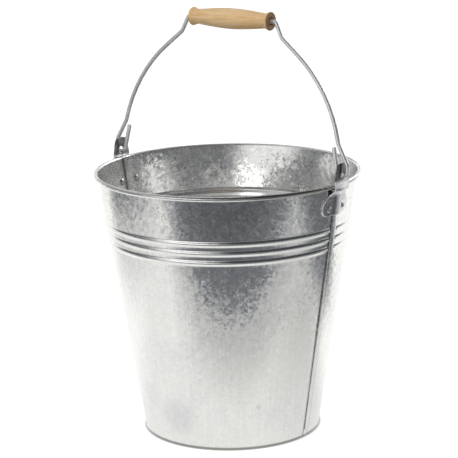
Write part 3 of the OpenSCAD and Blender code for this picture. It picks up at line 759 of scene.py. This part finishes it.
def earMiddle(y, z):
    # x of the plate's middle surface, with the rib raised over the seam
    m, clear = ear["ribSlope"], ear["gap"] + ear["thick"] / 2
    rib = ease((y + seamLeftY + clear + m / 2) / m) * ease((seamRightY + clear + m / 2 - y) / m)
    radius = earRadius(flankOff, z) * (1 - rib) + earRadius(ribOff, z) * rib
    return np.sqrt(radius ** 2 - y ** 2)


def lineDistance(y, z, path):
    # least distance from each point to a path of straight pieces
    a, d = path[:-1], np.diff(path, axis=0)
    size = np.maximum((d ** 2).sum(axis=1), 1e-12)
    t = np.clip(((y[..., None] - a[:, 0]) * d[:, 0] + (z[..., None] - a[:, 1]) * d[:, 1]) / size, 0, 1)
    far = np.hypot(y[..., None] - a[:, 0] - t * d[:, 0], z[..., None] - a[:, 1] - t * d[:, 1])
    return far.min(axis=-1)


def rivetFrame(side):
    # foot of a rivet on the wall's middle surface, its axis outwards, and two directions across it
    base = onWall(slant(wall["height"] - rivet["drop"]), 0.0)
    a = side * np.arcsin(rivet["pitch"] / 2 / base[0])
    radial, across = np.array([np.cos(a), np.sin(a), 0]), np.array([-np.sin(a), np.cos(a), 0])
    axis = outWall[0] * radial + outWall[1] * zAxis
    return base[0] * radial + base[1] * zAxis, axis, across, np.cross(axis, across)


def earSide(side, y, z, half, e):
    # outer and back points of one half of the plate: its middle surface moved both ways along its normal
    y, d = side * y, e["slopeStep"]
    x = earMiddle(y, z)
    slopeY = (earMiddle(y + d, z) - earMiddle(y - d, z)) / (2 * d)
    slopeZ = (earMiddle(y, z + d) - earMiddle(y, z - d)) / (2 * d)
    push = unit(np.stack([1 + 0 * x, -slopeY, -slopeZ], axis=-1)) * half[..., None]
    middle = np.stack([x, y, z], axis=-1)
    foot, axis = rivetFrame(side)[:2]
    reach = middle + push - foot
    reach = reach - (reach @ axis)[..., None] * axis
    sink = e["sinkH"] * ease((e["sinkR"] - np.linalg.norm(reach, axis=-1)) / e["sinkW"])
    return [middle + push - axis * sink[..., None], middle - push]


def earPlate(e, w):
    # rows up the ear, columns from its edge to the middle or to the eye; both faces bow to a rounded edge;
    # the uv is the distance from the edge, and the height
    path = earOutline(e, w)
    holeR, edgeR = e["holeD"] / 2, e["edgeR"]
    edge = edgeR * np.array(e["edgeShares"])
    low, top = path[0, 1], path[-1, 1]
    holeRows = ovalArc((0, holeZ), holeR, holeR, 90, -90, e["holeSteps"])[:, 1]
    z = np.concatenate([path[:, 1], low + edge, top - edge, holeRows, np.arange(low, top, e["rowStep"])])
    z = np.unique(np.round(z, 3))
    wide = np.interp(z, path[:, 1] + 1e-9 * np.arange(len(path)), path[:, 0])
    wide[0], wide[-1] = path[1, 0], path[-2, 0]
    inner = np.sqrt(np.maximum(holeR ** 2 - (z - holeZ) ** 2, 0))
    share = np.linspace(0, 1, e["cols"] + 1)[1:]
    rest = (wide - edgeR)[:, None] * (1 - share) + inner[:, None] * share
    y = np.concatenate([wide[:, None] - edge[None, :], rest], axis=1)
    rowZ = z[:, None] + 0 * y
    inward = np.minimum(lineDistance(y, rowZ, path), np.maximum(np.hypot(y, rowZ - holeZ) - holeR, 0))
    short = edgeR - np.minimum(inward, edgeR)
    half = e["thick"] / 2 - edgeR + np.sqrt(np.maximum(edgeR ** 2 - short ** 2, 0))
    grids = [g.reshape(-1, 3) for side in (1, -1) for g in earSide(side, y, rowZ, half, e)]
    index = np.arange(y.size).reshape(y.shape)
    eye = np.flatnonzero(np.abs(z - holeZ) <= holeR + 1e-6)
    quads = []
    for front in (0, 2):
        face, behind = index + front * y.size, index + (front + 1) * y.size
        quads += [quadGrid(*y.shape) + front * y.size, quadGrid(*y.shape) + (front + 1) * y.size]
        for line in ((slice(None), 0), (0, slice(None)), (-1, slice(None)), (eye, -1)):
            a, b = face[line], behind[line]
            quads.append(np.stack([a[:-1], a[1:], b[1:], b[:-1]], axis=1))
    uv = np.tile(np.stack([inward, rowZ], axis=-1).reshape(-1, 2) * mm, (4, 1))
    return np.concatenate(grids) * mm, np.concatenate(quads), uv


rightEar = earPlate(ear, wall)
for name, node, grid in (("rightEar", "right_ear", rightEar), ("leftEar", "left_ear", turnedHalf(rightEar))):
    makePiece(name, grid, "bucket", node, galvanisedPlate, sharp=50)

# Rivets: bright turned heads with duller spots
rivetFinish = {"cells": 700.0, "feather": 0.001, "tilt": 0.12, "pale": (0.80, 0.80, 0.80, 1),
               "dull": (0.58, 0.58, 0.59, 1), "cloud": (300.0, 3.0, 0.6), "dullAt": (0.4, 0.65),
               "rough": (0.2, 0.8, 0.26, 0.42), "metal": 1.0, "bump": (0.3, 0.0002)}
# Bail: drawn wire, grey zinc with lengthwise die lines, which run along the uv
wireFinish = {"cells": 420.0, "feather": 0.002, "tilt": 0.004, "pale": (0.86, 0.86, 0.86, 1),
              "dull": (0.80, 0.80, 0.805, 1), "cloud": (45.0, 4.0, 0.6), "dullAt": (0.42, 0.64),
              "dieLines": (60.0, 900.0, 1.0), "lines": (1.0, 3.0, 0.6), "lineShare": 0.5,
              "rough": (0.2, 0.8, 0.27, 0.31), "metal": 0.75, "bump": (0.03, 0.0002)}


def makeSteelFinish(name, f):
    # two greys in clouds over fine crystals, and die lines where the finish has them
    material, shader, coords = newMaterial(name)
    place = coords["Object"]
    cells = crystalCells(place, f, f["tilt"])
    mask = height = noise(place, *f["cloud"])
    if "dieLines" in f:
        height = noise(stretched(coords["UV"], f["dieLines"]), *f["lines"])
        mask = ruffled(mask, height, f["lineShare"])
    feed(shader, {"Base Color": mixColour(spread(mask, *f["dullAt"]), f["pale"], f["dull"]),
                  "Roughness": spread(cells["Tone"], *f["rough"]), "Metallic": f["metal"],
                  "Normal": bump(height, *f["bump"], Normal=cells["Normal"])})
    return material


rivetSteel = makeSteelFinish("rivetSteel", rivetFinish)
galvanisedWire = makeSteelFinish("galvanisedWire", wireFinish)
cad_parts["rim_wire"].data.materials.clear()
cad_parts["rim_wire"].data.materials.append(galvanisedWire)


def rivetTurn(v, side):
    # domed head inside, shank, rolled collar and hollow outside, spun about the rivet's axis
    foot, axis, across, upright = rivetFrame(side)
    inAt, outAt = -(wall["sheet"] / 2 + wall["gap"]), flankOff + ear["thick"] / 2 + wall["gap"]
    rollR = (v["collarD"] - v["hollowD"]) / 4
    head = ovalArc((0, inAt), v["headD"] / 2, v["headH"], -90, 0, v["headSteps"])
    shank = np.array([[v["shankD"] / 2, inAt], [v["shankD"] / 2, outAt]])
    collar = ovalArc((v["collarD"] / 2 - rollR, outAt), rollR, v["collarH"], 0, 180, v["collarSteps"])
    hollow = ovalArc((0, outAt), v["hollowD"] / 2, v["collarH"] - v["hollowH"], 0, 90, v["hollowSteps"])[1:]
    points = spun(np.concatenate([head, shank, collar, hollow]), v["turns"], foot, axis, across, upright)
    return gridMesh(points, points[..., 1:] * mm, wrapCols=True)


for earName, back in (("right", 1), ("left", -1)):
    for end, side in (("front", -back), ("back", back)):
        grid = rivetTurn(rivet, side)
        makePiece(earName + "Rivet" + end.title(), turnedHalf(grid) if earName == "left" else grid, "bucket",
                  earName + "_ear_rivet_" + end, rivetSteel, sharp=60)
print("ears and rivets done")

# Bail and grip in millimetres and degrees; the wire's cut ends have rings of those angles and shares
bail = {"wireD": 4.8, "rise": 161.0, "lean": 5.0, "hookR": 4.0, "hookEndH": 31.0, "hookEndIn": 6.5,
        "turnDrop": 3.0, "shoulderRise": 20.5, "shoulderIn": 7.2, "turnR": 9.0, "shoulderR": 15.0,
        "archLean": 13.0, "archSlope": 39.0, "archR": 160.0, "crankW": 8.2, "crankH": 17.0, "crankGap": 6.0,
        "crankR": 5.0, "crankFootR": 8.0, "hookGap": 2.45, "hingeGap": 0.25, "archShare": 0.94, "sides": 28,
        "step": 4.0, "cutH": 0.55, "cutTurns": (90, 78, 60, 40, 20), "cutShares": (0, 0.5, 0.78, 0.93, 0.985)}
grip = {"length": 105.0, "bellyD": 22.8, "waistD": 16.6, "endD": 20.6, "waistIn": 8.5, "edgeR": 1.2,
        "sinkD": 10.0, "sinkH": 6.0, "sinkEdge": 0.3, "gap": 0.3, "turns": 96, "bellySteps": 59,
        "flareSteps": 19, "edgeSteps": 8, "faceSteps": 5, "uvR": 0.011}
hingeZ = holeZ - ear["holeD"] / 2 + bail["hingeGap"] + bail["wireD"] / 2
bailLean = np.radians(bail["lean"])
bailLevel = np.array([0, np.cos(bailLean), -np.sin(bailLean)])
bailUp = np.array([0, np.sin(bailLean), np.cos(bailLean)])


def onBail(points):
    # across and up in the bail's own plane, which leans back about the hinge
    return points[:, 0:1] * xAxis + points[:, 1:2] * bailUp + hingeZ * zAxis


def bailPath(b):
    # one half from its free end to the grip: hook, shoulder, arch, crank; then the same way mirrored
    reach = ear["thick"] / 2 + b["hookGap"] + b["wireD"] / 2
    topH = wall["height"] + ear["rise"] - hingeZ
    shoulder = np.array([earX - b["shoulderIn"], topH + b["shoulderRise"]])
    crankTop = np.array([grip["length"] / 2 + b["crankGap"], b["rise"]])
    crankFoot = crankTop + np.array([b["crankW"], -b["crankH"]])
    rise, slope = np.radians(b["archLean"]), np.radians(b["archSlope"])
    up, down = np.array([-np.sin(rise), np.cos(rise)]), np.array([np.cos(slope), -np.sin(slope)])
    gap = crankFoot - shoulder
    along = (gap[0] * down[1] - gap[1] * down[0]) / (up[0] * down[1] - up[1] * down[0])
    corner = shoulder + along * up
    room = b["archShare"] * min(np.linalg.norm(corner - shoulder), np.linalg.norm(corner - crankFoot))
    bend = min(b["archR"], room / np.tan(np.radians(90 - b["archLean"] - b["archSlope"]) / 2))
    half = [((earX - reach - b["hookEndIn"], b["hookEndH"]), 0), ((earX - reach, 0), b["hookR"]),
            ((earX + reach, 0), b["hookR"]), ((earX + reach, topH - b["turnDrop"]), b["turnR"]),
            (shoulder, b["shoulderR"]), (corner, bend), (crankFoot, b["crankFootR"]), (crankTop, b["crankR"])]
    return roundedPath(half + [((-at[0], at[1]), radius) for at, radius in half[::-1]])


def wireTube(path, b):
    # a ring of points round each point of a flat path, with a rounded cut at both ends
    fine = np.concatenate([[0], np.cumsum(np.linalg.norm(np.diff(path, axis=0), axis=1))])
    s = np.unique(np.round(np.concatenate([fine, np.arange(0, fine[-1], b["step"])]), 4))
    flat = np.stack([np.interp(s, fine, path[:, 0]), np.interp(s, fine, path[:, 1])], axis=1)
    ahead = unit(np.gradient(flat, s, axis=0))
    wireR, shares = b["wireD"] / 2, np.array(b["cutShares"])
    dome = b["cutH"] * np.sin(np.radians(b["cutTurns"]))
    first, last = flat[:1] - ahead[:1] * dome[:, None], flat[-1:] + ahead[-1:] * dome[::-1, None]
    flat = np.concatenate([first, flat, last])
    radius = wireR * np.concatenate([shares, np.ones(len(s)), shares[::-1]])[:, None, None]
    ahead = np.pad(ahead, ((len(dome), len(dome)), (0, 0)), mode="edge")
    s = np.concatenate([s[0] - dome, s, s[-1] + dome[::-1]])[:, None]
    turn = fullTurn(b["sides"])
    side = (ahead[:, 1:2] * xAxis - ahead[:, 0:1] * bailUp)[:, None, :]
    ring = np.cos(turn)[..., None] * side + np.sin(turn)[..., None] * bailLevel
    uv = np.stack([s * mm + 0 * turn, turn * wireR * mm + 0 * s], axis=-1)
    return gridMesh(onBail(flat)[:, None, :] + radius * ring, uv, wrapCols=True)


bailTube = wireTube(bailPath(bail), bail)
makePiece("bailWire", bailTube, "bail", "bail", galvanisedWire, sharp=60)

# Grip: turned beech with lengthwise grain, faint tool rings and browner ends; each noise is a scale along
# x, y and z with its detail, and each layer lays a colour where a noise lies in a range
beechFinish = {"pale": (0.74, 0.51, 0.27, 1), "deep": (0.61, 0.385, 0.18, 1), "ends": (0.22, 0.125, 0.06, 1),
               "light": (0.82, 0.62, 0.38, 1),
               "noises": {"grain": ((24.0, 420.0, 420.0), 5.0, 0.62, 0.3),
                          "broad": ((14.0, 90.0, 90.0), 3.0, 0.5),
                          "flecks": ((220.0, 1500.0, 1500.0), 2.0, 0.5),
                          "rings": ((520.0, 6.0, 6.0), 3.0, 0.7)},
               "layers": [("grain", 0.34, 0.68, 1.0, "deep"), ("broad", 0.45, 0.70, 0.40, "light"),
                          ("flecks", 0.62, 0.72, 0.40, "deep"), ("rings", 0.56, 0.70, 0.30, "light"),
                          ("rings", 0.45, 0.34, 0.35, "deep")],
               "endsIn": (0.0020, -0.0001), "endShare": 0.85, "rough": (0.3, 0.7, 0.42, 0.58),
               "specular": 0.35, "ringH": 0.5, "bump": (0.25, 0.0003)}


def makeBeechFinish(f, length):
    material, shader, coords = newMaterial("turnedBeech")
    place = coords["Object"]
    made = {name: noise(stretched(place, scale), 1.0, *rest) for name, (scale, *rest) in f["noises"].items()}
    colour = f["pale"]
    for name, low, high, share, tint in f["layers"]:
        colour = mixColour(spread(made[name], low, high, 0.0, share), colour, f[tint])
    far = calc("ABSOLUTE", xyz(place)["X"])
    start, end = (length * mm / 2 - inwards for inwards in f["endsIn"])
    colour = mixColour(spread(far, start, end, 0.0, f["endShare"]), colour, f["ends"])
    height = timesPlus(made["rings"], f["ringH"], made["grain"])
    feed(shader, {"Base Color": colour, "Roughness": spread(made["grain"], *f["rough"]),
                  "Specular IOR Level": f["specular"], "Normal": bump(height, *f["bump"])})
    return material


def gripTurn(g):
    # belly to waist and waist to collar as cosines, a rounded edge, then down the sink and along the bore
    end, bore = g["length"] / 2, bail["wireD"] / 2 + g["gap"]
    waistX, edgeX, edgeIn = end - g["waistIn"], end - g["edgeR"], g["endD"] / 2 - g["edgeR"]
    t = np.linspace(0, 1, g["bellySteps"] + 1)[:-1]
    belly = np.stack([(g["waistD"] + (g["bellyD"] - g["waistD"]) * np.cos(np.pi / 2 * t)) / 2,
                      waistX * t], axis=1)
    t = np.linspace(0, 1, g["flareSteps"] + 1)[:-1]
    flare = np.stack([(g["waistD"] + (g["endD"] - g["waistD"]) * (1 - np.cos(np.pi / 2 * t))) / 2,
                      waistX + (edgeX - waistX) * t], axis=1)
    edge = ovalArc((edgeIn, edgeX), g["edgeR"], g["edgeR"], 0, 90, g["edgeSteps"])
    sinkR, sinkX = g["sinkD"] / 2, end - g["sinkH"]
    face = np.linspace(edge[-1, 0], sinkR + g["sinkEdge"], g["faceSteps"] + 1)[1:]
    mouth = [[sinkR, end - g["sinkEdge"]], [sinkR, sinkX], [bore, sinkX]]
    half = np.concatenate([belly, flare, edge, np.stack([face, 0 * face + end], axis=1), mouth])
    loop = np.concatenate([half, half[::-1] * np.array([1, -1])])
    points = spun(loop, g["turns"], onBail(np.array([[0, bail["rise"]]]))[0], xAxis, bailLevel, bailUp)
    turn = fullTurn(g["turns"])
    uv = np.stack([loop[:, 1:2] * mm + 0 * turn, turn * g["uvR"] + 0 * loop[:, 1:2]], axis=-1)
    return gridMesh(points, uv, True, True)


turnedBeech = makeBeechFinish(beechFinish, grip["length"])
makePiece("woodenGrip", gripTurn(grip), "grip", "grip", turnedBeech, sharp=40)
print("bail and grip done")

# Soft white stage; lengths in metres to the right of the view and away from it. A pair is where something
# starts and ends, two numbers after it are its levels there, and a front step is a pair, a slope and a rise
stageLook = {"reach": 12.0, "drop": 0.0002, "tone": 0.8, "rough": 0.9, "specular": 0.1, "fill": 0.72,
             "cool": (0.94, 0.98, 1.06, 1), "warm": (1.0, 1.0, 0.985, 1), "warmAt": (0.15, 0.6),
             "front": 0.10, "bow": 0.2,
             "frontSteps": [(-0.60, -0.45, 0.0, 0.07), (-0.40, -0.34, -0.04, 0.18),
                            (-0.40, -0.34, 0.10, 0.18), (-0.33, -0.14, 0.14, 0.35)],
             "rightFall": (-0.15, 0.40, 0.97, 0.60), "back": (-0.06, 0.16), "bright": 1.03,
             "shoulder": (0.28, 0.50, 0.0, 0.5), "leftFall": (-0.70, -0.30, 0.62, 1.03),
             "leftEdge": (-0.77, -0.645), "leftDim": 0.22, "leftOpen": (0.36, 0.62),
             "bay": (0.37, 0.60), "bayDim": 0.14, "baySlope": 0.35, "bayBack": (0.31, 0.12),
             "far": (1.0, 1.35), "farBack": (0.0, 0.5), "farLevels": (0.42, 1.05),
             "contactShadow": (0.0985, 0.1030, 0.40, 1.0)}
# Studio: levels by direction; a panel is its middle, inner and outer half widths in degrees, foot, top and
# level
studio = {"low": 0.12, "lowTop": (0.12, 0.24), "middle": (0.3, 0.85, 0.06, 0.45), "middleTop": (0.40, 0.60),
          "high": (-0.1, -0.6, 0.06, 0.30), "highBack": (0.0, 0.6), "highLevel": 0.60,
          "backdrop": (0.45, 0.80), "backdropTop": (0.34, 0.14), "backdropLevel": 1.0,
          "cool": (0.94, 0.98, 1.06, 1), "coolAt": (0.1, 0.5, 1.0, 0.0),
          "panels": [(-40, 8, 46, (-0.2, -0.1), (0.50, 0.32), 0.95),
                     (-72, 10, 60, (0.18, 0.30), (0.60, 0.45), 0.30),
                     (134, 20, 25, (0.12, 0.26), (0.66, 0.50), 3.0)]}
lamp = {"power": 40.0, "size": 2.4, "aside": -0.5, "away": -1.3, "height": 2.2, "aim": 0.3}


def tableLevel(aside, back, f):
    # light on the table: soft steps in from a bowed front edge, less to the right, more at the back; dim
    # beyond an edge at the left and in a bay at the right, and an even grey further out
    edge = timesPlus(times(aside, aside), f["bow"], back)
    level = f["front"]
    for start, end, slope, rise in f["frontSteps"]:
        sloped = timesPlus(aside, -slope, edge)
        level = calc("ADD", level, spread(sloped, start, end, 0.0, rise))
    level = calc("MINIMUM", level, spread(aside, *f["rightFall"]))
    near = spread(back, *f["bayBack"])
    shoulder = times(spread(aside, *f["shoulder"]), near)
    bright = f["bright"]
    level = fade(back, *f["back"], level, timesPlus(shoulder, -bright, bright))
    opened = spread(back, *f["leftOpen"])
    level = calc("MINIMUM", level, mixValue(opened, spread(aside, *f["leftFall"]), bright))
    lit = calc("MAXIMUM", spread(aside, *f["leftEdge"]), opened)
    level = mixValue(lit, f["leftDim"], level)
    inBay = times(spread(timesPlus(back, f["baySlope"], aside), *f["bay"]), near)
    level = mixValue(inBay, level, f["bayDim"])
    beyond = fade(back, *f["farBack"], *f["farLevels"])
    return fade(distance(aside, back), *f["far"], level, beyond)


def makeFloor(f):
    # a plain white floor with a painted contact shadow round the foot; in the metal it shows as a lit table
    plan = f["reach"] * np.array([(-1, -1), (1, -1), (1, 1), (-1, 1)])
    points = plan[:, 0:1] * viewRight + plan[:, 1:2] * viewAway - f["drop"] * zAxis
    mesh = bpy.data.meshes.new("whiteFloor")
    mesh.from_pydata(points.tolist(), [], [[0, 1, 2, 3]])
    material, shader, coords = newMaterial("whiteFloor")
    nodes = material.node_tree.nodes
    ray = nodes.new("ShaderNodeLightPath").outputs
    aside, back = (dotWith(coords["Object"], way) for way in (viewRight, viewAway))
    level = tableLevel(aside, back, f)
    # painted contact shadow: the floor is darker in a narrow ring round the foot
    contactShadow = spread(distance(aside, back), *f["contactShadow"])
    feed(shader, {"Base Color": greyOf(times(contactShadow, f["tone"])), "Roughness": f["rough"],
                  "Specular IOR Level": f["specular"]})
    seen = times(times(ray["Is Camera Ray"], f["fill"]), contactShadow)
    white = addNode("ShaderNodeEmission", {"Color": (1, 1, 1, 1), "Strength": seen})
    plain = addNode("ShaderNodeAddShader", {0: shader.outputs[0], 1: white.outputs[0]})
    tint = mixColour(spread(level, *f["warmAt"]), f["cool"], f["warm"])
    table = addNode("ShaderNodeEmission", {"Color": tint, "Strength": level})
    either = {0: ray["Is Glossy Ray"], 1: plain.outputs[0], 2: table.outputs[0]}
    both = addNode("ShaderNodeMixShader", either)
    feed(nodes["Material Output"], {"Surface": both.outputs[0]})
    mesh.materials.append(material)
    floor = inScene("whiteFloor", mesh)


def makeWorld(w):
    # white to the camera; to the object a studio: a dim room with soft panels at the front left and the
    # right, and a white sheet hung low behind
    world = bpy.data.worlds.new("studio")
    world.use_nodes = True
    nodes = world.node_tree.nodes
    way = nodes.new("ShaderNodeTexCoord").outputs["Generated"]
    aside, back, rise = (dotWith(way, axis) for axis in (viewRight, viewAway, zAxis))
    turn = calc("ARCTAN2", aside, times(back, -1.0))
    high = fade(back, *w["highBack"], spread(aside, *w["high"]), w["highLevel"])
    level = fade(rise, *w["lowTop"], w["low"], spread(back, *w["middle"]))
    level = fade(rise, *w["middleTop"], level, high)
    for middle, inner, outer, foot, top, strength in w["panels"]:
        middle, inner, outer = np.radians([middle, inner, outer]).tolist()
        off = calc("ABSOLUTE", calc("SUBTRACT", turn, middle))
        tall = between(rise, *foot, *top)
        level = timesPlus(spread(off, outer, inner, 0.0, strength), tall, level)
    sheet = times(spread(back, *w["backdrop"]), spread(rise, *w["backdropTop"]))
    seen = nodes.new("ShaderNodeLightPath").outputs["Is Camera Ray"]
    level = mixValue(seen, mixValue(sheet, level, w["backdropLevel"]), 1.0)
    cool = times(spread(level, *w["coolAt"]), opposite(seen))
    tint = mixColour(cool, (1, 1, 1, 1), w["cool"])
    feed(nodes["Background"], {"Color": tint, "Strength": level})
    bpy.context.scene.world = world


def makeLamp(w):
    # one broad soft lamp above the front, aimed at the bucket and kept out of the metal's reflections
    data = bpy.data.lights.new("softLamp", "AREA")
    data.shape = "DISK"
    data.size = w["size"]
    data.energy = w["power"]
    made = inScene("softLamp", data)
    place = w["aside"] * viewRight + w["away"] * viewAway + w["height"] * zAxis
    back = unit(place - w["aim"] * zAxis)
    side = unit(np.cross(zAxis, back))
    made.matrix_world = axesAt(side, np.cross(back, side), back, place)
    made.visible_glossy = False


makeFloor(stageLook)
makeWorld(studio)
makeLamp(lamp)
bpy.context.scene.view_settings.view_transform = "Standard"
print("stage and light set")
